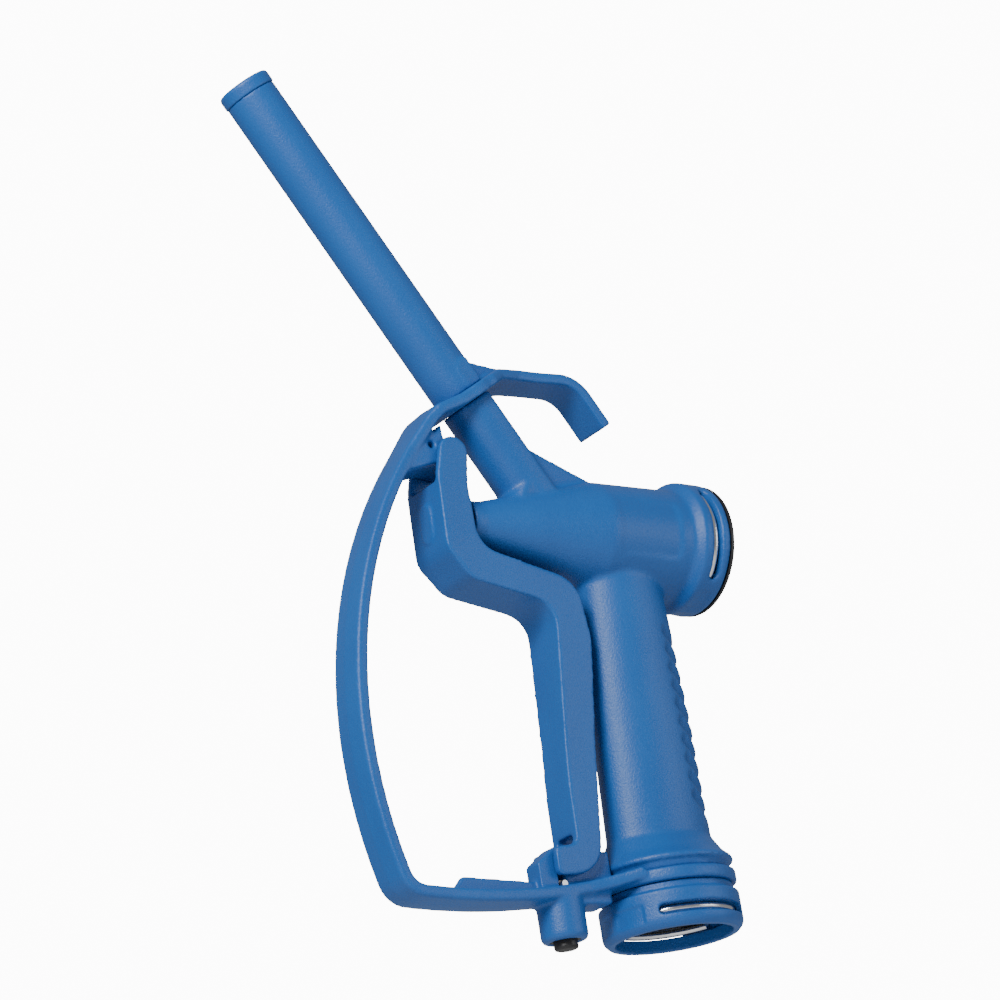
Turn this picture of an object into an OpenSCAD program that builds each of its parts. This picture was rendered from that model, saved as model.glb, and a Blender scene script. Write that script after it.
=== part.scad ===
// Hand nozzle of a drum pump: a pistol grip dispensing valve with a straight spout.
// +Z runs up the grip, +X to the rear of the hand, Y across. The origin is the centre
// of the inlet mouth, where the hose coupling enters. All sizes are millimetres.

/* [Handle] */
// Height of the valve axis above the inlet mouth, measured on the inlet axis
valve_h = 191; // [158:1:232]
// Grip size from front to back
grip_depth = 47; // [42:1:56]
// Grip size across the hand
grip_width = 34; // [30:1:40]
// How far the grip stands behind the inlet axis
grip_set_back = 4.5; // [2:0.5:7]
// Radius of the liquid passage up the grip
passage_r = 11.5; // [9:0.5:13]
// Number of finger grooves down the back of the grip
groove_count = 10; // [4:1:10]
// Spacing of the grooves up the grip
groove_pitch = 8.8; // [7:0.1:9]
// Depth of each groove
groove_depth = 2; // [0.8:0.1:2.4]

/* [Inlet coupling] */
// Outer radius of the inlet collar, the guard ring and the flange above them
coupling_r = 32.3; // [31.5:0.1:36]
// Radius of the bore that takes the hose plug
coupling_bore_r = 27; // [24:0.1:27.5]
// Depth of that bore
plug_depth = 11.5; // [11:0.5:14]
// Height of the inlet collar
coupling_h = 17; // [16.5:0.5:21]
// Radius of the neck that the collar and the guard ring fit round
neck_r = 28; // [27.8:0.1:29]
// Height of each groove between the collar, the ring and the flange
rim_gap = 3.8; // [3:0.1:5]
// Height of the guard ring
ring_h = 6; // [5:0.5:8]

/* [Wire retaining rings] */
// Wire diameter of both retaining rings
wire_d = 3.6; // [2.8:0.1:3.8]
// Half angle of the window that shows the ring on each side
window_half = 46; // [30:1:50]

/* [Valve housing] */
// How far the valve axis dips towards the rear
valve_tilt = 3; // [0:0.5:6]
// Radius of the valve housing
housing_r = 27.2; // [26:0.1:30]
// Radius of the valve chamber
chamber_r = 21.5; // [20:0.1:22]
// Distance of the rear face from the inlet axis
rear_reach = 50.5; // [48:0.5:60]
// Length of the rear collar
collar_len = 15.5; // [15:0.5:18]
// Outer radius of the rear collar
collar_r = 31.6; // [31:0.1:35]
// Radius of the narrow front neck that guides the stem
nose_r = 10.8; // [10:0.1:13]
// Distance of the front face from the inlet axis
nose_reach = 79; // [70:0.5:80]
// Radius of the valve stem
stem_r = 4; // [3:0.1:4.5]
// Radius of the opening in the valve seat
seat_r = 9.5; // [8:0.1:10]
// Distance that the valve disc lifts from its seat
lift = 5.2; // [4:0.1:6]

/* [Spout] */
// Angle between the spout and the grip
spout_lean = 32.3; // [25:0.1:38]
// Point where the spout axis meets the valve height, forward of the inlet axis
spout_root = 27.3; // [25:0.1:30]
// Outer radius of the spout and its socket
spout_r = 12.5; // [11.5:0.1:15]
// Bore radius of the spout
spout_bore_r = 8; // [6:0.1:8]
// Length of the visible spout above the guard eye
spout_len = 175; // [140:1:220]
// Length of the socket below the guard eye
socket_len = 75; // [70:0.5:80]
// Length of the raised rim at the tip
tip_len = 6.5; // [4:0.5:12]

/* [Guard] */
// Width of the guard band
guard_w = 21; // [16:0.5:22]
// Thickness of the guard band
guard_t = 5.6; // [5:0.1:7]
// Height of the widest point of the guard above the inlet mouth
belly_h = 91; // [80:1:110]
// Outer radius of the lower front corner
corner_r = 14; // [10:0.5:20]
// Outer radius of the eye round the spout
eye_r = 17.5; // [16.5:0.1:20]
// Length of the flat part of the hanging hook
hook_flat = 24; // [18:0.5:40]
// Outer radius of the hook's bend
hook_bend_r = 19; // [14:0.5:24]
// Length of the hook's drop
hook_drop = 17; // [10:0.5:30]

/* [Lever] */
// Distance of the lever pivot forward of the inlet axis
pivot_reach = 86; // [84:0.5:88]
// Height of the lever pivot above the valve axis
pivot_rise = 34; // [30:0.5:36]
// Radius of the pivot pin
pin_r = 2.5; // [2:0.1:3]
// Width of the lever at the pivot
lever_top_w = 28; // [27:0.5:32]
// Width of the lever at the toe
lever_toe_w = 20; // [19:0.5:21]
// Wall thickness of the lever's channel
lever_wall = 3.6; // [3:0.1:4]

/* [Hold-open latch] */
// Distance of the latch forward of the inlet axis
latch_reach = 60; // [59.5:0.1:60.5]
// Outer radius of the latch barrel
latch_r = 10.7; // [10:0.1:11.5]
// Radius of the push button
button_r = 5.5; // [4:0.1:5.8]
// How far the button stands out of the barrel
button_proud = 3.5; // [2:0.1:6]
// Travel of the latch plunger
latch_travel = 4.5; // [3:0.1:5]

/* [Fits] */
// Radial clearance between parts that slide or turn in each other
running = 0.05; // [0.02:0.01:0.1]
// Gap kept between pieces of different moving groups
clear_gap = 0.3; // [0.2:0.05:0.6]

/* [Hidden] */

$fn = 96;
hull_fn = 32;
blue = "#2f6fb5";
black = "#17181b";
steel = "#c3c7cb";
rubber = "#1d1d1f";
natural = "#e6e4da";
eps = 0.01;

// Heights round the inlet
shoulder_r = neck_r + 2;
ring_z0 = coupling_h + rim_gap;
ring_z1 = ring_z0 + ring_h;
flange_z = ring_z1 + rim_gap;
flange_t = 2.5;
grip_z0 = flange_z + 14;
groove_z0 = 57;

// Retaining rings: half of the wire sits in the collar and half in the plug
wire_r = wire_d / 2;
wire_ring_r = coupling_bore_r + 0.6;
wire_groove_r = wire_ring_r + wire_r + 0.1;
inlet_clip_z = plug_depth - 3.4;
rear_clip_u = rear_reach - 7.4;
window_h = wire_d + 0.9;

// Valve places, measured along the valve axis from the inlet axis
collar_u = rear_reach - collar_len;
chamber_u0 = -8;
chamber_u1 = collar_u;
seat_t = 3;
disc_u = chamber_u0 + lift;
disc_r = seat_r + 4.5;
disc_t = 5;
seal_t = 2;
nut_t = 4;
spring_u0 = disc_u + seal_t + disc_t;
cone_u0 = 6.5 - nose_reach;
cone_u1 = -12;
front_bore_u = -38;
bush_len = 12;
stem_bore_r = stem_r + running;
gland_t = 7;
cap_flange_t = 2;
cap_plug_r = coupling_bore_r - 0.1;
cap_cup_u = collar_u + 1;

// Places along the spout axis from its root
eye_l0 = socket_len;
eye_l1 = socket_len + guard_t;
spigot_r = spout_r - 2.55;
spigot_len = 24;
tip_l = eye_l1 + spout_len;
flat_half = spout_r + 0.4;

// Lever pivot
pivot_x = -pivot_reach;
pivot_z = valve_h + pivot_rise;
eye_round = 7.2;

// Points [x, z] in the middle plane
function on_spout_pt(l, n) = [-spout_root - l * sin(spout_lean) + n * cos(spout_lean),
    valve_h + l * cos(spout_lean) + n * sin(spout_lean)];
function polar(c, r, a) = [c[0] + r * cos(a), c[1] + r * sin(a)];
function shift(p, dx, dz) = [p[0] + dx, p[1] + dz];
function unit(v) = v / norm(v);

// Points of a closed outline whose corners [x, z, radius] are rounded
function corner(a, b, c, r, n) =
    let (u = unit(a - b), v = unit(c - b), half = acos(u * v) / 2,
        t = r / tan(half), m = b + unit(u + v) * r / sin(half),
        p = b + u * t, q = b + v * t,
        a0 = atan2(p[1] - m[1], p[0] - m[0]), a1 = atan2(q[1] - m[1], q[0] - m[0]),
        turn = (a1 - a0 > 180) ? a1 - a0 - 360 : (a1 - a0 < -180) ? a1 - a0 + 360 : a1 - a0)
    [for (i = [0:n]) polar(m, r, a0 + turn * i / n)];
function xz(p) = [p[0], p[1]];
function rounded(pts, n = 8) = [for (i = [0:len(pts) - 1])
    let (k = len(pts), a = pts[(i + k - 1) % k], b = pts[i], c = pts[(i + 1) % k])
    each (b[2] <= 0 ? [xz(b)] : corner(xz(a), xz(b), xz(c), b[2], n))];

// Guard: shallow arc along the bottom, corner arc, one big arc, the eye, then the hook
band_lean = 52.3;
band_top_angle = 90 + band_lean;
eye_angle = 90 + spout_lean;
eye_front = on_spout_pt(eye_l1, -eye_r);
bend_pt = shift(eye_front, -9, -2.5);
bend_run = 24;
arc_top = bend_pt - bend_run * [cos(band_lean), sin(band_lean)];
main_r = (arc_top[1] - belly_h) / sin(band_top_angle);
main_c = [arc_top[0] - main_r * cos(band_top_angle), belly_h];
bar_r = 350;
bar_x = -95;
bar_c = [bar_x, ring_z0 + 0.8 + sqrt(bar_r * bar_r - pow(bar_x + coupling_r, 2))];
corner_c = meet(main_c, main_r - corner_r, bar_c, bar_r - corner_r);
function meet(p, rp, q, rq) =
    let (d = norm(q - p), along = (d * d + rp * rp - rq * rq) / (2 * d),
        up = sqrt(rp * rp - along * along), e = unit(q - p), side = [-e[1], e[0]])
    p + e * along + side * up;
corner_a0 = 360 + atan2(corner_c[1] - main_c[1], corner_c[0] - main_c[0]);
corner_a1 = 360 + atan2(corner_c[1] - bar_c[1], corner_c[0] - bar_c[0]);
function bar_z(x) = bar_c[1] - sqrt(pow(bar_r, 2) - pow(x - bar_c[0], 2));
function bar_top(x) = bar_z(x) + guard_t;

// Hook over the top
hook_turn = 58;
hook_top = on_spout_pt(eye_l1, eye_r)[1] + 2.2;
hook_x0 = on_spout_pt(eye_l1, eye_r)[0] + 14;
hook_x1 = hook_x0 + hook_flat;
hook_c = [hook_x1, hook_top - hook_bend_r];
hook_end = polar(hook_c, hook_bend_r, 90 - hook_turn) + hook_drop * [cos(hook_turn), -sin(hook_turn)];

// Stations of the guard: point on the outer face, outward angle, width
flare_x = -52;
flare_run = 27;
flare_w = 22;
function flare(x) = guard_w + flare_w * pow(max(0, min(1, (x - flare_x) / flare_run)), 1.6);
function arc_stations(c, r, a0, a1, n) = [for (i = [0:n])
    let (a = a0 + (a1 - a0) * i / n, p = polar(c, r, a)) [p, a, (c == bar_c) ? flare(p[0]) : guard_w]];
function skip_first(v) = [for (i = [1:len(v) - 1]) v[i]];
guard_stations = concat(
    arc_stations(bar_c, bar_r, 270 + asin((flare_x + flare_run - bar_x) / bar_r), corner_a1, 14),
    skip_first(arc_stations(corner_c, corner_r, corner_a1, corner_a0, 8)),
    skip_first(arc_stations(main_c, main_r, corner_a0, band_top_angle, 20)),
    [[bend_pt + [-3, -4], band_top_angle - 4, 2 * eye_r - 9],
        [bend_pt + [1.5, 0.4], (band_top_angle + eye_angle) / 2, 2 * eye_r - 5],
        [on_spout_pt(eye_l1, -0.6 * eye_r), eye_angle, 2 * eye_r - 2],
        [on_spout_pt(eye_l1, 0.6 * eye_r), eye_angle, 2 * eye_r - 2],
        [on_spout_pt(eye_l1, eye_r + 1), eye_angle - 8, 2 * eye_r - 8],
        [[hook_x0, hook_top], 93, guard_w],
        [[(hook_x0 + hook_x1) / 2, hook_top], 90, guard_w - 1]],
    arc_stations(hook_c, hook_bend_r, 90, 90 - hook_turn, 8),
    [[hook_end, 90 - hook_turn, guard_w]]);

// Lever outline, from the pivot down to the toe
toe_sole = bar_top(-latch_reach) + 4.6;
toe_front = -latch_reach - 4.3;
grip_front = grip_set_back - grip_depth / 2;
lever_outline = [
    [pivot_x - eye_round, pivot_z + eye_round, eye_round - 0.1],
    [pivot_x + eye_round, pivot_z + eye_round, eye_round - 0.1],
    [pivot_x + 3.4, valve_h + 19, 30],
    [pivot_x + 4.2, valve_h - 11.5, 13],
    [grip_front - 11, valve_h - 25.5, 17],
    [grip_front - 7.5, valve_h - 54, 40],
    [grip_front - 21.3, toe_sole + 0.8, 16],
    [toe_front, toe_sole - 0.4, 3],
    [toe_front + 0.4, toe_sole + 12.6, 1.6],
    [grip_front - 32.8, toe_sole + 14.2, 4],
    [grip_front - 32.2, toe_sole + 42, 120],
    [grip_front - 25.2, valve_h - 37, 13],
    [pivot_x - 2, valve_h - 27.2, 12],
    [pivot_x - 13.3, valve_h - 13, 12],
    [pivot_x - 12.4, valve_h + 22, 20]];
front_wall_x = pivot_x - 13;
contact_x = front_wall_x + lever_wall + 1.2;
web_top = valve_h + 20;
pin_end = 1.5;
slot_half = 5.7;
slot_arc_r = pivot_z - toe_sole - 15.4;
latch_pocket_half = lever_toe_w / 2 - 2.4;

// Hold-open latch heights
barrel_z0 = -0.5;
shoulder_z = barrel_z0 + 3.5;
plunger_top = toe_sole - 0.9;
cross_r = 1.5;
cross_room = 0.8;
cross_z = plunger_top - cross_r - 1;
barrel_bore_r = button_r + 1.1;
latch_bush_t = 2.9;
ceiling_z = bar_z(-latch_reach) + 1.5;
block_half = 5.3;
plunger_r = 3.1;
plunger_flange_t = 3;

// Frames of the two tilted axes: local z runs along each of them
module on_valve(u = 0) {
    translate([0, 0, valve_h])
        rotate([0, 90 + valve_tilt, 0])
            translate([0, 0, u])
                children();
}

module on_spout(l = 0) {
    translate([-spout_root, 0, valve_h])
        rotate([0, -spout_lean, 0])
            translate([0, 0, l])
                children();
}

// A plate of thickness w, centred on the middle plane, from an outline in x and z
module plate(w) {
    rotate([90, 0, 0])
        linear_extrude(w, center = true)
            children();
}

// A ring of round section, such as an O-ring
module ring(r, section_r) {
    rotate_extrude()
        translate([r, 0])
            circle(r = section_r, $fn = 24);
}

module tube(r, hole_r, h) {
    difference() {
        cylinder(r = r, h = h);
        translate([0, 0, -eps]) cylinder(r = hole_r, h = h + 2 * eps);
    }
}

// A disc with both edges rounded off by a chamfer c
module soft_disc(r, h, c0, c1) {
    rotate_extrude()
        polygon([[0, 0], [r - c0, 0], [r - 0.3 * c0, 0.3 * c0], [r, c0],
            [r, h - c1], [r - 0.3 * c1, h - 0.3 * c1], [r - c1, h], [0, h]]);
}

// A disc whose lower edge is fully rounded with radius c
module round_lip_disc(r, h, c) {
    rotate_extrude()
        polygon(concat([[0, h], [0, 0]], [for (a = [0:15:90]) [r - c + c * sin(a), c - c * cos(a)]],
            [[r, h - 0.6], [r - 0.6, h]]));
}

// Round-ended windows through a collar wall, one on each side (about the local y axis)
module windows(r_in, r_out, z) {
    end_half = window_half - asin(window_h / 2 / r_out);
    for (side = [-90, 90]) {
        rotate([0, 0, side - end_half])
            rotate_extrude(angle = 2 * end_half)
                translate([r_in, z - window_h / 2])
                    square([r_out - r_in, window_h]);
        for (end = [-end_half, end_half])
            rotate([0, 0, side + end])
                translate([r_in, 0, z])
                    rotate([0, 90, 0])
                        cylinder(r = window_h / 2, h = r_out - r_in, $fn = 48);
    }
}

// The collar's inside groove for its retaining ring
module wire_groove(z) {
    translate([0, 0, z - wire_r - 0.1])
        cylinder(r = wire_groove_r, h = wire_d + 0.2);
}

// An open ring of round wire; the gap faces local +x turned by gap_at
module wire_ring(z, gap_at) {
    gap = 34;
    translate([0, 0, z])
        rotate([0, 0, gap_at + gap / 2])
            rotate_extrude(angle = 360 - gap)
                translate([wire_ring_r, 0])
                    circle(r = wire_r, $fn = 24);
}

// ---- Body: grip, valve housing and spout socket, one moulding ----

// Oval sections of the grip: height, shift of its middle, half depth and half width
grip_sections = [
    [grip_z0, -3.8, grip_depth / 2 + 3.1, grip_width / 2 + 1.2],
    [99, -2.4, grip_depth / 2 + 2.2, grip_width / 2 + 0.2],
    [valve_h - 12, -3, grip_depth / 2 - 1.6, grip_width / 2]];

module grip_shape(inset = 0) {
    for (i = [0, 1])
        hull()
            for (s = [grip_sections[i], grip_sections[i + 1]])
                translate([grip_set_back + s[1], 0, s[0]])
                    scale([s[2] - inset, s[3] - inset, 1]) cylinder(r = 1, h = 0.1, $fn = 48);
}

module grip_flare() {
    steps = [[0, 0], [3.4, 4], [14.5, 12]];
    for (i = [0:len(steps) - 2])
        hull()
            for (s = [steps[i], steps[i + 1]]) {
                part = s[0] / 14.5;
                translate([0.7 * part, 0, flange_z + flange_t - 0.5 + s[1]])
                    scale([coupling_r - 0.6 - (coupling_r - grip_depth / 2 - 4) * pow(part, 0.6),
                        coupling_r - 0.6 - (coupling_r - grip_width / 2 - 1.8) * pow(part, 0.6), 1])
                        cylinder(r = 1, h = 0.2, $fn = 48);
            }
}

// Slanted grooves across the back of the grip, cut to one depth all round
module grip_grooves() {
    slope = 37;
    width = 4.6;
    difference() {
        for (i = [0:groove_count - 1])
            translate([grip_set_back + 10, 0, groove_z0 + 6 + i * groove_pitch])
                rotate([0, slope, 0])
                    translate([-2, -grip_width, -width / 2])
                        cube([34, 2 * grip_width, width]);
        grip_shape(groove_depth);
    }
}

module housing_outer() {
    on_valve(-nose_reach) cylinder(r = nose_r, h = nose_reach + cone_u1);
    on_valve(cone_u0) cylinder(r1 = nose_r, r2 = housing_r - 0.8, h = cone_u1 - cone_u0);
    on_valve(cone_u1 - eps)
        cylinder(r1 = housing_r - 0.8, r2 = housing_r + 0.2, h = collar_u - cone_u1 + 1);
    on_valve(collar_u - 3) cylinder(r1 = housing_r - 0.3, r2 = collar_r - 1.2, h = 3 + eps);
    on_valve(collar_u) soft_disc(collar_r, collar_len, 1.2, 1.8);
}

module socket_outer() {
    on_spout() cylinder(r = spout_r, h = socket_len);
    // Fillet between the socket and the front of the housing
    hull() {
        on_spout(30) cylinder(r = spout_r - 0.2, h = 1, $fn = hull_fn);
        on_valve(-58) cylinder(r = nose_r - 0.3, h = 20, $fn = hull_fn);
    }
    on_spout(12)
        translate([-1, -flat_half, 0])
            cube([7.2, 2 * flat_half, socket_len - 12]);
}

// Web between the socket and the top of the housing
module socket_web() {
    top = on_spout_pt(socket_len * 0.62, spout_r - 2);
    plate(8)
        polygon([top, [-6, valve_h + housing_r + 0.8], [-6, valve_h + 12],
            on_spout_pt(18, 2)]);
}

module label_recess() {
    // Shallow rounded panels on both sides of the housing, left blank
    for (side = [-1, 1])
        on_valve(-10)
            intersection() {
                difference() {
                    cylinder(r = housing_r + 1, h = 37);
                    translate([0, 0, -1]) cylinder(r = housing_r - 1, h = 39);
                }
                translate([1.2, side * housing_r, 18.5])
                    rotate([90, 0, 0])
                        linear_extrude(30, center = true)
                            polygon(rounded([[-13.5, -17, 3], [13.5, -17, 3], [13.5, 17, 3],
                                [-13.5, 17, 3]]));
            }
}

module body_bores() {
    on_valve(chamber_u0) cylinder(r = chamber_r, h = chamber_u1 - chamber_u0);
    on_valve(collar_u) cylinder(r = coupling_bore_r, h = collar_len + 1);
    on_valve(0) wire_groove(rear_clip_u);
    on_valve(0) windows(wire_ring_r, collar_r + 1, rear_clip_u);
    on_valve(front_bore_u) cylinder(r = seat_r, h = chamber_u0 - front_bore_u + 1);
    on_valve(chamber_u0 - seat_t) cylinder(r = seat_r + 2.5, h = seat_t + 1);
    on_valve(-nose_reach - 1) cylinder(r = stem_bore_r, h = nose_reach + 1 + front_bore_u + 1);
    on_valve(-nose_reach - 1) cylinder(r = nose_r - 3, h = bush_len + 1);
    on_spout(-2) cylinder(r = spout_bore_r, h = socket_len + 3);
    on_spout(socket_len - spigot_len - 1) cylinder(r = spigot_r + 0.05, h = spigot_len + 3);
    translate([grip_set_back - 0.5, 0, 60]) cylinder(r = passage_r, h = valve_h - 60);
    translate([0, 0, coupling_h - 10]) cylinder(r = neck_r - 4.5, h = 20);
    translate([0, 0, coupling_h + 10 - eps]) cylinder(r1 = neck_r - 4.5, r2 = passage_r, h = 32);
    translate([grip_set_back / 2, 0, 58]) cylinder(r = passage_r, h = 10);
}

// Shallow notch low on the front of a collar, one on each side
module prise_notches(r, z0, h, at) {
    for (side = [-1, 1])
        rotate([0, 0, at + side * 17.5])
            rotate([0, 0, -14])
                rotate_extrude(angle = 28)
                    translate([r - 0.7, z0])
                        square([2, h]);
}

module body() {
    color(blue)
        difference() {
            union() {
                difference() {
                    grip_shape();
                    grip_grooves();
                }
                grip_flare();
                housing_outer();
                socket_outer();
                socket_web();
                translate([0, 0, flange_z]) soft_disc(coupling_r, flange_t, 0.5, 1);
                translate([0, 0, ring_z1]) cylinder(r = shoulder_r, h = rim_gap + 1);
                translate([0, 0, plug_depth]) cylinder(r = neck_r, h = ring_z1 - plug_depth + 1);
            }
            body_bores();
            label_recess();
            on_valve(0) prise_notches(collar_r, collar_u + 3.5, 8.5, 0);
        }
}

// ---- Inlet: collar, gasket and wire ring ----

module inlet_coupling() {
    color(blue)
        difference() {
            union() {
                round_lip_disc(coupling_r, coupling_h, 4.2);
                cylinder(r = shoulder_r, h = ring_z0);
            }
            translate([0, 0, -1]) cylinder(r = coupling_bore_r, h = plug_depth + 2);
            translate([0, 0, plug_depth]) cylinder(r = neck_r + 0.05, h = coupling_h + 10);
            wire_groove(inlet_clip_z);
            windows(wire_ring_r, coupling_r + 1, inlet_clip_z);
            prise_notches(coupling_r, 3.4, 8.4, 180);
        }
}

module inlet_gasket() {
    color(rubber)
        translate([0, 0, plug_depth - 1.6])
            tube(coupling_bore_r - 0.1, neck_r - 4.5, 1.6);
}

module inlet_clip() {
    color(steel) wire_ring(inlet_clip_z, 0);
}

// ---- Spout ----

module spout_tube() {
    color(blue)
        difference() {
            union() {
                on_spout(eye_l1) cylinder(r = spout_r, h = spout_len - tip_len);
                on_spout(socket_len - spigot_len) cylinder(r = spigot_r, h = spigot_len + guard_t + 1);
                on_spout(tip_l - tip_len - 1) cylinder(r = spout_r - 1.5, h = tip_len - 0.5);
                // Key flats that sit on the guard eye
                on_spout(eye_l1)
                    translate([-2.4, 0, 0])
                        rotate([90, 0, 0])
                            linear_extrude(2 * flat_half, center = true)
                                polygon(rounded([[0, 0, 0], [8.6, 0, 0], [8.6, 13.5, 0],
                                    [3, 13.5, 2.5], [0, 9.5, 3]]));
            }
            on_spout(socket_len - spigot_len - 1) cylinder(r = spout_bore_r, h = tip_l);
            for (k = [0, 1])
                on_spout(socket_len - spigot_len + 4 + 7 * k)
                    tube(spigot_r + 1, spigot_r - 1.3, 2.4);
        }
}

module spout_tip() {
    color(blue)
        on_spout(tip_l - tip_len)
            difference() {
                soft_disc(spout_r + 0.5, tip_len, 0.4, 1.6);
                translate([0, 0, -1]) cylinder(r = spout_r - 1.5, h = tip_len + 0.5);
                translate([0, 0, -1]) cylinder(r = spout_bore_r, h = tip_len + 2);
            }
}

module spout_o_rings() {
    color(rubber)
        for (k = [0, 1])
            on_spout(socket_len - spigot_len + 5.2 + 7 * k)
                ring(spigot_r - 0.58, 0.6);
}

// ---- Valve ----

module valve_seat() {
    color(natural)
        on_valve(chamber_u0 - seat_t)
            tube(seat_r + 2.5, seat_r - 2, seat_t);
}

module valve_stem() {
    end_u = (contact_x + clear_gap) / cos(valve_tilt);
    color(steel)
        on_valve(0) {
            translate([0, 0, end_u + stem_r])
                cylinder(r = stem_r, h = spring_u0 + nut_t + 2 - end_u - stem_r);
            translate([0, 0, end_u + stem_r])
                sphere(r = stem_r);
        }
}

module stem_bush() {
    color(natural)
        on_valve(-nose_reach + 4)
            tube(nose_r - 3, stem_bore_r, bush_len - 4);
}

module stem_o_rings() {
    color(rubber)
        for (k = [0, 1])
            on_valve(-nose_reach + 1.1 + 1.9 * k)
                ring(stem_bore_r + 0.95, 0.9);
}

module gland_nut() {
    color(black)
        difference() {
            on_valve(-nose_reach - gland_t) cylinder(r = nose_r - 1.5, h = gland_t, $fn = 6);
            on_valve(-nose_reach - gland_t - 1) cylinder(r = stem_bore_r + 0.3, h = gland_t + 2);
        }
}

module valve_disc() {
    color(natural)
        on_valve(disc_u + seal_t)
            difference() {
                soft_disc(disc_r, disc_t, 0.6, 1.2);
                translate([0, 0, -1]) cylinder(r = stem_r, h = disc_t + 2);
            }
}

module disc_seal() {
    color(rubber)
        on_valve(disc_u)
            tube(disc_r - 0.6, stem_r, seal_t);
}

module disc_nut() {
    color(steel)
        difference() {
            on_valve(spring_u0) cylinder(r = stem_r * 1.75, h = nut_t, $fn = 6);
            on_valve(spring_u0 - 1) cylinder(r = stem_r, h = nut_t + 2);
        }
}

// One sweep of round wire along a helix, closed at both ends
module coil(r, section_r, length, turns) {
    sides = 8;
    per_turn = 18;
    rings = turns * per_turn;
    function wire_pt(i, j) =
        let (a = 360 * i / per_turn, b = 360 * j / sides, e = r + section_r * cos(b))
        [e * cos(a), e * sin(a),
            section_r + (length - 2 * section_r) * i / rings + section_r * sin(b)];
    polyhedron(
        points = [for (i = [0:rings]) for (j = [0:sides - 1]) wire_pt(i, j)],
        faces = concat(
            [[for (j = [0:sides - 1]) j]],
            [for (i = [0:rings - 1]) for (j = [0:sides - 1])
                [i * sides + j, (i + 1) * sides + j,
                    (i + 1) * sides + (j + 1) % sides, i * sides + (j + 1) % sides]],
            [[for (j = [sides - 1:-1:0]) rings * sides + j]]));
}

module valve_spring() {
    color(steel)
        on_valve(spring_u0 + 0.1)
            coil(disc_r - 3.2, 1.1, cap_cup_u + 9 - spring_u0 - 0.2, 5);
}

// ---- Rear cap ----

module rear_cap() {
    color(black)
        on_valve(0)
            difference() {
                union() {
                    translate([0, 0, cap_cup_u])
                        cylinder(r = cap_plug_r, h = rear_reach - cap_cup_u + 0.5);
                    translate([0, 0, rear_reach]) soft_disc(collar_r - 0.4, cap_flange_t, 0.2, 0.9);
                }
                // Groove for the wire ring
                translate([0, 0, rear_clip_u - wire_r - 0.1])
                    tube(cap_plug_r + 1, wire_ring_r - wire_r - 0.1, wire_d + 0.2);
                // Groove for the O-ring
                translate([0, 0, cap_cup_u + 1.2]) tube(cap_plug_r + 1, cap_plug_r - 2, 2.8);
                // Pocket for the spring
                translate([0, 0, cap_cup_u - 1]) cylinder(r = disc_r, h = 10);
                // Finger recess in the outer face
                translate([0, 0, rear_reach + cap_flange_t - 1.2])
                    tube(collar_r - 6, 6, 2);
            }
}

module cap_o_ring() {
    color(rubber)
        on_valve(cap_cup_u + 2.6)
            ring(cap_plug_r - 0.93, 1);
}

module rear_clip() {
    color(steel) on_valve(0) wire_ring(rear_clip_u, 0);
}

// ---- Guard: eye, hook, band, ring, pivot lug and latch barrel, one moulding ----

// The band and the hook: one profile carried through the guard's stations
module band() {
    chamfer = 1;
    ridge = 0.7;
    n = len(guard_stations);
    sides = 9;
    function profile(w) = let (h = w / 2)
        [[-guard_t, -h + 0.6], [-guard_t + 0.6, -h], [-chamfer, -h], [0, chamfer - h], [ridge, 0],
            [0, h - chamfer], [-chamfer, h], [-guard_t + 0.6, h], [-guard_t, h - 0.6]];
    function place(s, q) = [s[0][0] + q[0] * cos(s[1]), q[1], s[0][1] + q[0] * sin(s[1])];
    polyhedron(
        points = [for (s = guard_stations) for (q = profile(s[2])) place(s, q)],
        faces = concat(
            [[for (j = [sides - 1:-1:0]) j]],
            [for (i = [0:n - 2]) for (j = [0:sides - 1])
                let (a = i * sides + j, b = i * sides + (j + 1) % sides)
                each [[a, b, b + sides], [a, b + sides, a + sides]]],
            [[for (j = [0:sides - 1]) (n - 1) * sides + j]]));
}

// Web on top of the hook, standing against the spout
module hook_web() {
    plate(5)
        polygon([on_spout_pt(eye_l1 + 12.5, spout_r + 0.1), [hook_x0 + 20, hook_top - 0.5],
            [hook_x0, hook_top - 3], on_spout_pt(eye_l0 + 2, spout_r + 2)]);
}

module pivot_lug() {
    p = [pivot_x, pivot_z];
    inner = main_r - guard_t + 1;
    low = polar(main_c, inner, band_top_angle + 4.6);
    high = bend_pt + [4.4, -7.6];
    plate(2 * (lever_top_w / 2 - lever_wall - clear_gap)) {
        polygon([low, shift(low, 6.5, 5), shift(p, -10, -5.2), shift(p, -4, -5.8),
            p, shift(p, -3, 5.8), high, polar(main_c, inner, band_top_angle + 0.5)]);
        translate(p) circle(r = eye_round - 0.6);
    }
}

module latch_barrel() {
    translate([-latch_reach, 0, barrel_z0])
        soft_disc(latch_r, bar_z(-latch_reach) - barrel_z0 + 2, 2.2, 0.1);
}

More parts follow.
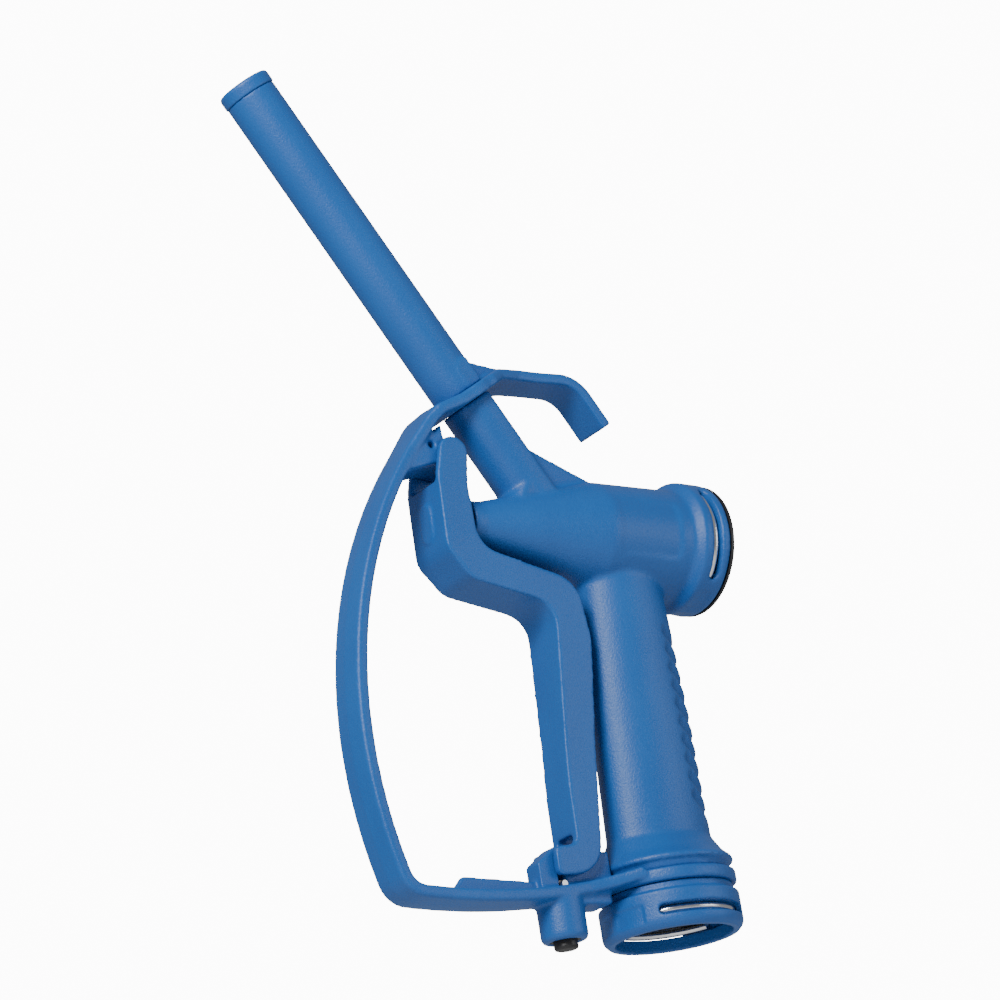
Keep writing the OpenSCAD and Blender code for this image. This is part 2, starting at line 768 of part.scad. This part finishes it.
module guard_lower() {
    // Ring round the neck
    translate([0, 0, ring_z0]) soft_disc(coupling_r, ring_h, 0.6, 0.6);
    // Pad between the latch barrel and the ring
    translate([-52, -8, bar_z(-52) - 4]) cube([15.5, 16, 8]);
    // Rib along the inside of the bar
    plate(3.6)
        polygon([[-117, bar_top(-117) - 1], [-110, bar_top(-110) + 7.5],
            [-latch_reach - 8, bar_top(-latch_reach - 8) + 3.8],
            [-latch_reach - 8, bar_top(-latch_reach - 8) - 1]]);
    // Block that the toe straddles; the latch plunger runs up through it
    x = -latch_reach;
    plate(2 * block_half)
        polygon([[x - 11.5, bar_top(x - 11.5) - 1], [x - 11.5, toe_sole + 6.6],
            [x - 1.5, toe_sole + 14], [x + 8, toe_sole + 13.4], [x + 16, toe_sole + 11.6],
            [-coupling_r - 0.4, toe_sole + 11.6], [-coupling_r - 0.4, ring_z1],
            [-neck_r - 1, ring_z1], [-neck_r - 1, ring_z0 + 1]]);
}

module guard_cuts() {
    on_spout(eye_l0 - 5) cylinder(r = spigot_r + 0.15, h = guard_t + 10);
    on_spout(eye_l1) cylinder(r = spout_r + 0.1, h = 30);
    on_spout(eye_l1) translate([-2.5, -flat_half - 0.1, 0]) cube([9, 2 * flat_half + 0.2, 14]);
    on_spout(eye_l0 - 20) cylinder(r = spout_r + 0.1, h = 20);
    on_spout(eye_l0 - 20) translate([-1.1, -flat_half - 0.1, 0])
        cube([7.5, 2 * flat_half + 0.2, 20]);
    translate([0, 0, ring_z0 - 6]) cylinder(r = neck_r + 0.05, h = ring_h + 12);
    difference() {
        translate([0, 0, ring_z0 - 20]) cylinder(r = coupling_r + 0.4, h = 20);
        translate([0, 0, ring_z0 - 21]) cylinder(r = neck_r - 5, h = 22);
    }
    translate([0, 0, ring_z1]) cylinder(r = coupling_r + 0.4, h = 20);
    // Pivot pin hole and the small hole beside it
    translate([pivot_x, 0, pivot_z]) rotate([90, 0, 0]) cylinder(r = pin_r, h = 40, center = true);
    translate([pivot_x - 10.4, 0, pivot_z + 4]) rotate([90, 0, 0])
        cylinder(r = 1.8, h = 40, center = true, $fn = 32);
    // Latch barrel bores
    translate([-latch_reach, 0, barrel_z0 - 1])
        cylinder(r = barrel_bore_r, h = ceiling_z - barrel_z0 + 1);
    translate([-latch_reach, 0, barrel_z0])
        cylinder(r = plunger_r + running, h = plunger_top + latch_travel + 1 - barrel_z0);
    translate([-latch_reach - cross_r - 0.4, -latch_pocket_half, cross_z - cross_r - 0.4])
        cube([2 * cross_r + 0.8, 2 * latch_pocket_half, latch_travel + 2 * cross_r + 0.8]);
}

module guard() {
    color(blue)
        difference() {
            union() {
                band();
                on_spout(eye_l0) cylinder(r = eye_r, h = guard_t);
                hook_web();
                pivot_lug();
                guard_lower();
                latch_barrel();
            }
            guard_cuts();
        }
}

// ---- Lever ----

// The lever narrows from the pivot to the toe
module lever_width() {
    rotate([90, 0, 90])
        linear_extrude(200, center = true)
            polygon([[-lever_toe_w / 2, 0], [lever_toe_w / 2, 0],
                [lever_toe_w / 2, toe_sole + 60], [lever_top_w / 2, valve_h - 8],
                [lever_top_w / 2, pivot_z + 20], [-lever_top_w / 2, pivot_z + 20],
                [-lever_top_w / 2, valve_h - 8], [-lever_toe_w / 2, toe_sole + 60]]);
}

// The channel's hollow: the outline moved in from the front, open to the rear
module lever_hollow() {
    inset = lever_wall;
    rotate([90, 0, 0])
        intersection() {
            linear_extrude(2 * lever_top_w, center = true)
                polygon([
                    [contact_x, web_top + 30], [contact_x, valve_h - 7],
                    [pivot_x + 3, valve_h - 22.5], [grip_front - 21, valve_h - 33],
                    [grip_front - 20.6, valve_h - 48], [grip_front - 28, toe_sole + 44],
                    [grip_front - 28.8, toe_sole + 20], [grip_front, toe_sole + 20],
                    [grip_front + 10, valve_h - 18], [pivot_x + 20, valve_h + 10],
                    [pivot_x + 20, web_top + 30]]);
            rotate([-90, 0, 0])
                rotate([90, 0, 90])
                    linear_extrude(240, center = true)
                        polygon([[inset - lever_toe_w / 2, 0], [lever_toe_w / 2 - inset, 0],
                            [lever_toe_w / 2 - inset, toe_sole + 60],
                            [lever_top_w / 2 - inset, valve_h - 8],
                            [lever_top_w / 2 - inset, pivot_z + 20],
                            [inset - lever_top_w / 2, pivot_z + 20],
                            [inset - lever_top_w / 2, valve_h - 8],
                            [inset - lever_toe_w / 2, toe_sole + 60]]);
        }
}

module lever() {
    inner_half = lever_top_w / 2 - lever_wall;
    color(blue)
        difference() {
            intersection() {
                union() {
                    plate(2 * lever_top_w) polygon(rounded(lever_outline));
                    // Boss on the front wall, in line with the stem
                    for (dz = [-2.5, 7.5])
                        translate([front_wall_x - 1.9, 0, valve_h + dz])
                            rotate([0, 90, 0])
                                cylinder(r = 4.4, h = 5);
                    translate([front_wall_x - 1.9, -4.4, valve_h - 2.5])
                        cube([5, 8.8, 10]);
                }
                lever_width();
            }
            lever_hollow();
            // Arms only above the front wall
            translate([pivot_x - 30, -inner_half, web_top]) cube([60, 2 * inner_half, 60]);
            // Pivot bore, blind on the near side
            translate([pivot_x, lever_top_w / 2 + 1, pivot_z])
                rotate([90, 0, 0])
                    cylinder(r = pin_r + running, h = lever_top_w - 0.4);
            // Way through the toe for the catch block and the plunger
            translate([pivot_x, 0, pivot_z])
                rotate([90, 0, 0])
                    tube_cut(slot_arc_r, slot_arc_r + 60, 2 * slot_half);
            // Pocket for the cross pin
            translate([-latch_reach - cross_r - cross_room, -latch_pocket_half, toe_sole - 8])
                cube([2 * cross_r + 2 * cross_room, 2 * latch_pocket_half, 15.5]);
        }
}

// A wide flat ring used as a cutter
module tube_cut(r0, r1, w) {
    translate([0, 0, -w / 2])
        difference() {
            cylinder(r = r1, h = w, $fn = 180);
            translate([0, 0, -1]) cylinder(r = r0, h = w + 2, $fn = 180);
        }
}

module lever_pin() {
    length = lever_top_w + pin_end - 1.6;
    color(steel)
        translate([pivot_x, lever_top_w / 2 + pin_end, pivot_z])
            rotate([90, 0, 0])
                difference() {
                    cylinder(r = pin_r, h = length);
                    translate([0, 0, 0.5]) tube(pin_r + 1, pin_r - 0.5, 0.6);
                }
}

module pin_circlip() {
    color(steel)
        translate([pivot_x, lever_top_w / 2 + pin_end - 0.6, pivot_z])
            rotate([90, 0, 0])
                rotate([0, 0, 30])
                    rotate_extrude(angle = 290)
                        translate([pin_r - 0.45, -0.05])
                            square([2, 0.5]);
}

// ---- Hold-open latch ----

module latch_plunger() {
    color(natural)
        translate([-latch_reach, 0, 0])
            difference() {
                union() {
                    translate([0, 0, shoulder_z]) cylinder(r = barrel_bore_r - running,
                        h = plunger_flange_t);
                    translate([0, 0, shoulder_z]) soft_disc(plunger_r, plunger_top - shoulder_z,
                        0.1, 0.6);
                }
                translate([0, 0, cross_z]) rotate([90, 0, 0]) cylinder(r = cross_r, h = 20,
                    center = true);
            }
}

module latch_button() {
    color(black)
        translate([-latch_reach, 0, barrel_z0 - button_proud])
            soft_disc(button_r, shoulder_z - barrel_z0 + button_proud, 1.2, 0.2);
}

module latch_cross_pin() {
    color(steel)
        translate([-latch_reach, 0, cross_z])
            rotate([90, 0, 0])
                cylinder(r = cross_r, h = 2 * latch_pocket_half - 2 * cross_room, center = true);
}

module latch_spring() {
    z0 = shoulder_z + plunger_flange_t;
    color(steel)
        translate([-latch_reach, 0, z0 + 0.05])
            coil(plunger_r + 1.3, 0.6, ceiling_z - z0 - 0.1, 5);
}

module latch_bush() {
    color(black)
        translate([-latch_reach, 0, shoulder_z - latch_bush_t])
            tube(barrel_bore_r, button_r + running, latch_bush_t);
}

body();
guard();
inlet_coupling();
inlet_gasket();
inlet_clip();
spout_tube();
spout_tip();
spout_o_rings();
valve_seat();
valve_stem();
stem_bush();
stem_o_rings();
gland_nut();
valve_disc();
disc_seal();
disc_nut();
valve_spring();
rear_cap();
cap_o_ring();
rear_clip();
lever();
lever_pin();
pin_circlip();
latch_plunger();
latch_button();
latch_cross_pin();
latch_spring();
latch_bush();
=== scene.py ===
# %% [markdown]
# # A hand nozzle, from exact solids to a finished picture
#
# The solids come in already measured and jointed. This notebook keeps them as the frame, puts
# soft moulded skins over the big plastic parts, gives every surface a procedural material, and
# sets up a plain studio. All lengths are metres, +Z runs up the grip and the spout leans to -X.

import math

import bmesh
import bpy
from mathutils import Matrix, Vector


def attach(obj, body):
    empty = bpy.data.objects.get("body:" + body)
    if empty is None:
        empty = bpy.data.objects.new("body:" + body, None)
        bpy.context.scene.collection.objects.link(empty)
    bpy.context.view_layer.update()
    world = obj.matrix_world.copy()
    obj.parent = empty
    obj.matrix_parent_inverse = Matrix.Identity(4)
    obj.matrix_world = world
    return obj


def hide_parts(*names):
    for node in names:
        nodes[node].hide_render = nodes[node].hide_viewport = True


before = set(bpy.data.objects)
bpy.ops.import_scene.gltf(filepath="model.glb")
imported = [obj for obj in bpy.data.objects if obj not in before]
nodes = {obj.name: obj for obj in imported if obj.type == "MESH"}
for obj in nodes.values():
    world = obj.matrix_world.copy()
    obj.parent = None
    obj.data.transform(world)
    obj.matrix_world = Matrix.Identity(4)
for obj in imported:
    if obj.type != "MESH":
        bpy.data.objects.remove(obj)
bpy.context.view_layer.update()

# %% [markdown]
# ## Shader maths that reads like maths
#
# A node graph is easier to follow as a formula. `Sock` wraps one output socket, so `a * 0.3 + b`
# adds the Math nodes for us, and `Graph.node` is the single place where nodes are made.


# %%
class Sock:
    def __init__(self, graph, socket):
        self.graph, self.socket = graph, socket

    def math(self, operation, *others, clamp=False):
        return self.graph.node("ShaderNodeMath", (self, *others), operation=operation, use_clamp=clamp)

    def __add__(self, other):
        return self.math("ADD", other)

    def __sub__(self, other):
        return self.math("SUBTRACT", other)

    def __mul__(self, other):
        return self.math("MULTIPLY", other)

    def clamped(self):
        return self.math("ADD", 0.0, clamp=True)


class Graph:
    def __init__(self, name):
        self.material = bpy.data.materials.new(name)
        self.material.use_nodes = True
        self.tree = self.material.node_tree
        self.tree.nodes.clear()

    def node(self, kind, inputs=(), out=0, **settings):
        """Adds one node; inputs may be wrapped sockets or plain values, in order or by name."""
        made = self.tree.nodes.new(kind)
        for key, value in settings.items():
            setattr(made, key, value)
        pairs = inputs.items() if isinstance(inputs, dict) else enumerate(inputs)
        for key, value in pairs:
            if isinstance(value, Sock):
                self.tree.links.new(value.socket, made.inputs[key])
            elif value is not None:
                made.inputs[key].default_value = value
        return Sock(self, made.outputs[out])

    def position(self):
        return self.node("ShaderNodeTexCoord", out="Object")

    def scaled(self, vector, scale):
        return self.node("ShaderNodeMapping", {"Vector": vector, "Scale": scale})

    def noise(self, vector, scale, detail=3.0, rough=0.5):
        return self.node("ShaderNodeTexNoise", {
            "Vector": vector, "Scale": scale, "Detail": detail, "Roughness": rough}, out="Fac")

    def mix(self, factor, a, b):
        made = self.tree.nodes.new("ShaderNodeMix")
        made.data_type = "RGBA"
        for socket, value in ((made.inputs[0], factor), (made.inputs[6], a), (made.inputs[7], b)):
            if isinstance(value, Sock):
                self.tree.links.new(value.socket, socket)
            else:
                socket.default_value = value
        return Sock(self, made.outputs[2])

    def bump(self, height, strength, distance, normal=None):
        inputs = {"Strength": strength, "Distance": distance, "Height": height, "Normal": normal}
        return self.node("ShaderNodeBump", inputs, out="Normal")

    def surface(self, **inputs):
        shader = self.node("ShaderNodeBsdfPrincipled", {k.replace("_", " "): v for k, v in inputs.items()})
        output = self.tree.nodes.new("ShaderNodeOutputMaterial")
        self.tree.links.new(shader.socket, output.inputs["Surface"])
        return self.material


def band(value, centre, half):
    """1 inside centre +- half and 0 outside, with soft shoulders."""
    distance = (value - centre).math("ABSOLUTE")
    return (distance * (-1.0 / half) + 1.5).clamped()


print("shader tools ready")

# %% [markdown]
# ## Blue moulded polypropylene
#
# The plastic has a fine spark-eroded grain, faint flow streaks, a slightly paler cast where hands
# polish it, and a hair-thin parting line in the middle plane. Only Base Color, Roughness and
# Normal vary; the uniform numbers sit directly on the shader.


# %%
def plastic(name, deep, pale, rough, grain, parting=True):
    g = Graph(name)
    place = g.position()
    flow = g.noise(g.scaled(place, (60.0, 60.0, 14.0)), 1.0, 4.0, 0.6)
    speckle = g.noise(place, 900.0, 2.0, 0.6)
    cloud = g.noise(place, 22.0, 3.0, 0.5)
    tone = (flow * 0.35 + speckle * 0.4 + cloud * 0.45 - 0.1).clamped()
    height = speckle * grain + g.noise(place, 2600.0, 1.0, 0.5) * (grain * 0.6)
    normal = g.bump(height, 0.35, 0.0006)
    if parting:
        across = g.node("ShaderNodeSeparateXYZ", (place,), out="Y")
        seam = band(across, 0.0, 0.00012)
        normal = g.bump(seam, 0.25, 0.0002, normal)
    return g.surface(
        Base_Color=g.mix(tone, deep, pale),
        Roughness=(cloud * 0.14 + speckle * 0.12 + (rough - 0.12)).clamped(),
        Normal=normal,
        Specular_IOR_Level=0.45)


blue = plastic("blue_polypropylene", (0.006, 0.074, 0.300, 1.0), (0.018, 0.135, 0.450, 1.0), 0.40, 0.9)
black = plastic("black_moulding", (0.006, 0.006, 0.007, 1.0), (0.022, 0.022, 0.025, 1.0), 0.4, 0.4, False)
natural = plastic("natural_polymer", (0.62, 0.58, 0.48, 1.0), (0.80, 0.77, 0.68, 1.0), 0.5, 0.3, False)
print("plastics:", blue.name, black.name, natural.name)

# %% [markdown]
# ## Bright wire, turned steel and rubber
#
# Drawn wire keeps long faint scratches, so its noise is stretched; rubber is matt with a bloom.


# %%
def metal(name, low, high, rough, stretch):
    g = Graph(name)
    place = g.position()
    scratch = g.noise(g.scaled(place, stretch), 1.0, 5.0, 0.65)
    smudge = g.noise(place, 180.0, 3.0, 0.5)
    return g.surface(
        Base_Color=g.mix((scratch * 0.6 + smudge * 0.4).clamped(), low, high),
        Metallic=1.0,
        Roughness=(scratch * 0.12 + smudge * 0.1 + rough - 0.08).clamped(),
        Normal=g.bump(scratch, 0.2, 0.0002))


def rubber_like(name):
    g = Graph(name)
    place = g.position()
    bloom = g.noise(place, 240.0, 4.0, 0.6)
    return g.surface(
        Base_Color=g.mix(bloom, (0.008, 0.008, 0.009, 1.0), (0.03, 0.03, 0.032, 1.0)),
        Roughness=(bloom * 0.25 + 0.55).clamped(),
        Normal=g.bump(g.noise(place, 1500.0, 2.0), 0.3, 0.0003))


wire = metal("bright_wire", (0.62, 0.63, 0.65, 1.0), (0.86, 0.87, 0.89, 1.0), 0.16, (700.0, 700.0, 4000.0))
turned = metal("turned_steel", (0.5, 0.51, 0.53, 1.0), (0.75, 0.76, 0.78, 1.0), 0.28, (3500.0, 300.0, 300.0))
rubber = rubber_like("seal_rubber")
print("metals and rubber ready")

# %% [markdown]
# ## Which solid gets which material
#
# The CAD solids that need no reshaping only get a material and shading by angle.

# %%
LOOKS = {
    "inlet_gasket": (rubber, "rubber"), "inlet_clip": (wire, "stainless"),
    "spout_o_rings": (rubber, "rubber"), "valve_seat": (natural, "natural_plastic"),
    "valve_stem": (turned, "stainless"), "stem_bush": (natural, "natural_plastic"),
    "stem_o_rings": (rubber, "rubber"), "gland_nut": (black, "black_plastic"),
    "valve_disc": (natural, "natural_plastic"), "disc_seal": (rubber, "rubber"),
    "disc_nut": (turned, "stainless"), "valve_spring": (wire, "stainless"),
    # The rear cap is black like the latch button, and its black also stands in for painted shade: the dark
    # crescent at the housing's rear rim.
    "rear_cap": (black, "black_plastic"), "cap_o_ring": (rubber, "rubber"),
    "rear_clip": (wire, "stainless"), "lever_pin": (turned, "stainless"),
    "pin_circlip": (turned, "stainless"), "latch_plunger": (natural, "natural_plastic"),
    "latch_button": (black, "black_plastic"), "latch_cross_pin": (turned, "stainless"),
    "latch_spring": (wire, "stainless"), "latch_bush": (black, "black_plastic"),
}
SHARP_DEGREES = 32
for name, (material, slot_name) in LOOKS.items():
    solid = nodes[name]
    solid.data.materials.clear()
    solid.data.materials.append(material)
    solid.data.shade_smooth()
    solid.data.set_sharp_from_angle(angle=math.radians(SHARP_DEGREES))
print(len(LOOKS), "solids dressed")

# %% [markdown]
# ## Soft skins for the blue mouldings
#
# A moulded part has no knife edges. Each big part is copied, welded, rebuilt on a fine voxel grid
# and relaxed, which turns every corner into a small fillet and every joint into a blend. The
# relaxed skin then stands for its solid, and the solid stays behind it for physics.


# %%
WELD = 1e-5


def skin(name, voxel, relax, body):
    """A smooth copy of one CAD solid, with its corners rounded."""
    work = nodes[name].data.copy()
    made = bpy.data.objects.new(name + "_skin", work)
    bpy.context.scene.collection.objects.link(made)
    bm = bmesh.new()
    bm.from_mesh(work)
    bmesh.ops.remove_doubles(bm, verts=bm.verts, dist=WELD)
    bmesh.ops.recalc_face_normals(bm, faces=bm.faces)
    bm.to_mesh(work)
    bm.free()
    grid = made.modifiers.new("grid", "REMESH")
    grid.mode, grid.voxel_size, grid.adaptivity = "VOXEL", voxel, 0.0
    soft = made.modifiers.new("soft", "SMOOTH")
    soft.factor, soft.iterations = 0.5, relax
    shaped = bpy.data.meshes.new_from_object(made.evaluated_get(bpy.context.evaluated_depsgraph_get()))
    made.modifiers.clear()
    made.data = shaped
    shaped.materials.clear()
    shaped.materials.append(blue)
    shaped.shade_smooth()
    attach(made, body)
    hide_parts(name)
    print(name, len(shaped.polygons), "faces")
    return made


coarse = 1.0
skins = [
    skin("body", 0.00110 * coarse, 5, "nozzle"),
    skin("guard", 0.00085 * coarse, 6, "nozzle"),
    skin("inlet_coupling", 0.00060 * coarse, 4, "nozzle"),
    skin("spout_tube", 0.00080 * coarse, 4, "nozzle"),
    skin("spout_tip", 0.00045 * coarse, 3, "nozzle"),
    skin("lever", 0.00080 * coarse, 7, "lever_arm"),
]
print(len(skins), "skins")

# %% [markdown]
# ## Studio: pale floor, pale room, two soft panels
#
# The room lights the object softly but looks white to the camera, as an overexposed studio
# sweep does. Two panels then give the plastic its shading.


# %%
ROOM_LIGHT = 0.28
SEEN_ROOM = 12.0


def plate(name, centre, across, up, material):
    """A flat rectangle as mesh data, for the floor."""
    mesh = bpy.data.meshes.new(name)
    bm = bmesh.new()
    signs = ((-1, -1), (1, -1), (1, 1), (-1, 1))
    bm.faces.new([bm.verts.new(centre + across * x + up * y) for x, y in signs])
    bm.to_mesh(mesh)
    bm.free()
    obj = bpy.data.objects.new(name, mesh)
    bpy.context.scene.collection.objects.link(obj)
    mesh.materials.append(material)
    return obj


paper = Graph("paper")
paper_tone = paper.noise(paper.position(), 3.0, 2.0)
paper_mat = paper.surface(
    Base_Color=paper.mix(paper_tone, (0.86, 0.86, 0.86, 1.0), (0.9, 0.9, 0.9, 1.0)), Roughness=0.9)
FLOOR_Z = -0.42
FLOOR_HALF = 4.0
floor = plate("floor", Vector((0, 0, FLOOR_Z)), Vector((FLOOR_HALF, 0, 0)),
              Vector((0, FLOOR_HALF, 0)), paper_mat)

world = bpy.data.worlds.new("pale_room")
world.use_nodes = True
sky = world.node_tree.nodes["Background"]
sky.inputs["Color"].default_value = (1.0, 1.0, 1.0, 1.0)
seen = world.node_tree.nodes.new("ShaderNodeLightPath")
strength = world.node_tree.nodes.new("ShaderNodeMath")
strength.operation = "MULTIPLY_ADD"
world.node_tree.links.new(seen.outputs["Is Camera Ray"], strength.inputs[0])
strength.inputs[1].default_value, strength.inputs[2].default_value = SEEN_ROOM, ROOM_LIGHT
world.node_tree.links.new(strength.outputs[0], sky.inputs["Strength"])
bpy.context.scene.world = world


def panel(name, place, aim, size, watts):
    light = bpy.data.lights.new(name, "AREA")
    light.shape, light.size, light.energy = "SQUARE", size, watts
    obj = bpy.data.objects.new(name, light)
    bpy.context.scene.collection.objects.link(obj)
    obj.location = place
    obj.rotation_euler = (Vector(aim) - Vector(place)).to_track_quat("-Z", "Y").to_euler()
    return obj


middle = (-0.06, 0.0, 0.2)
lights = [
    panel("key", (-1.3, -0.9, 0.9), middle, 0.6, 32.0),
    panel("fill", (1.0, -1.3, 0.3), middle, 0.8, 5.0),
]
print("studio ready")

# %% [markdown]
# ## Camera
#
# The camera stands low in front of the guard and looks up along the nozzle. The three axes
# below are its right, up and backward directions, written out so the view can be checked.

# %%
right = Vector((0.8287, -0.5386, -0.1522))
up = Vector((-0.0585, -0.3537, 0.9335))
back = Vector((-0.5566, -0.7647, -0.3246))
spot = Vector((-0.9030, -1.1628, -0.2855))
lens = bpy.data.cameras.new("photo_view")
lens.sensor_width, lens.lens = 36.0, 118.8
lens.clip_start, lens.clip_end = 0.05, 20.0
camera = bpy.data.objects.new("photo_view", lens)
bpy.context.scene.collection.objects.link(camera)
turn = Matrix((right, up, back)).transposed().to_4x4()
camera.matrix_world = Matrix.Translation(spot) @ turn
bpy.context.scene.camera = camera
print("camera at", [round(v, 3) for v in spot])
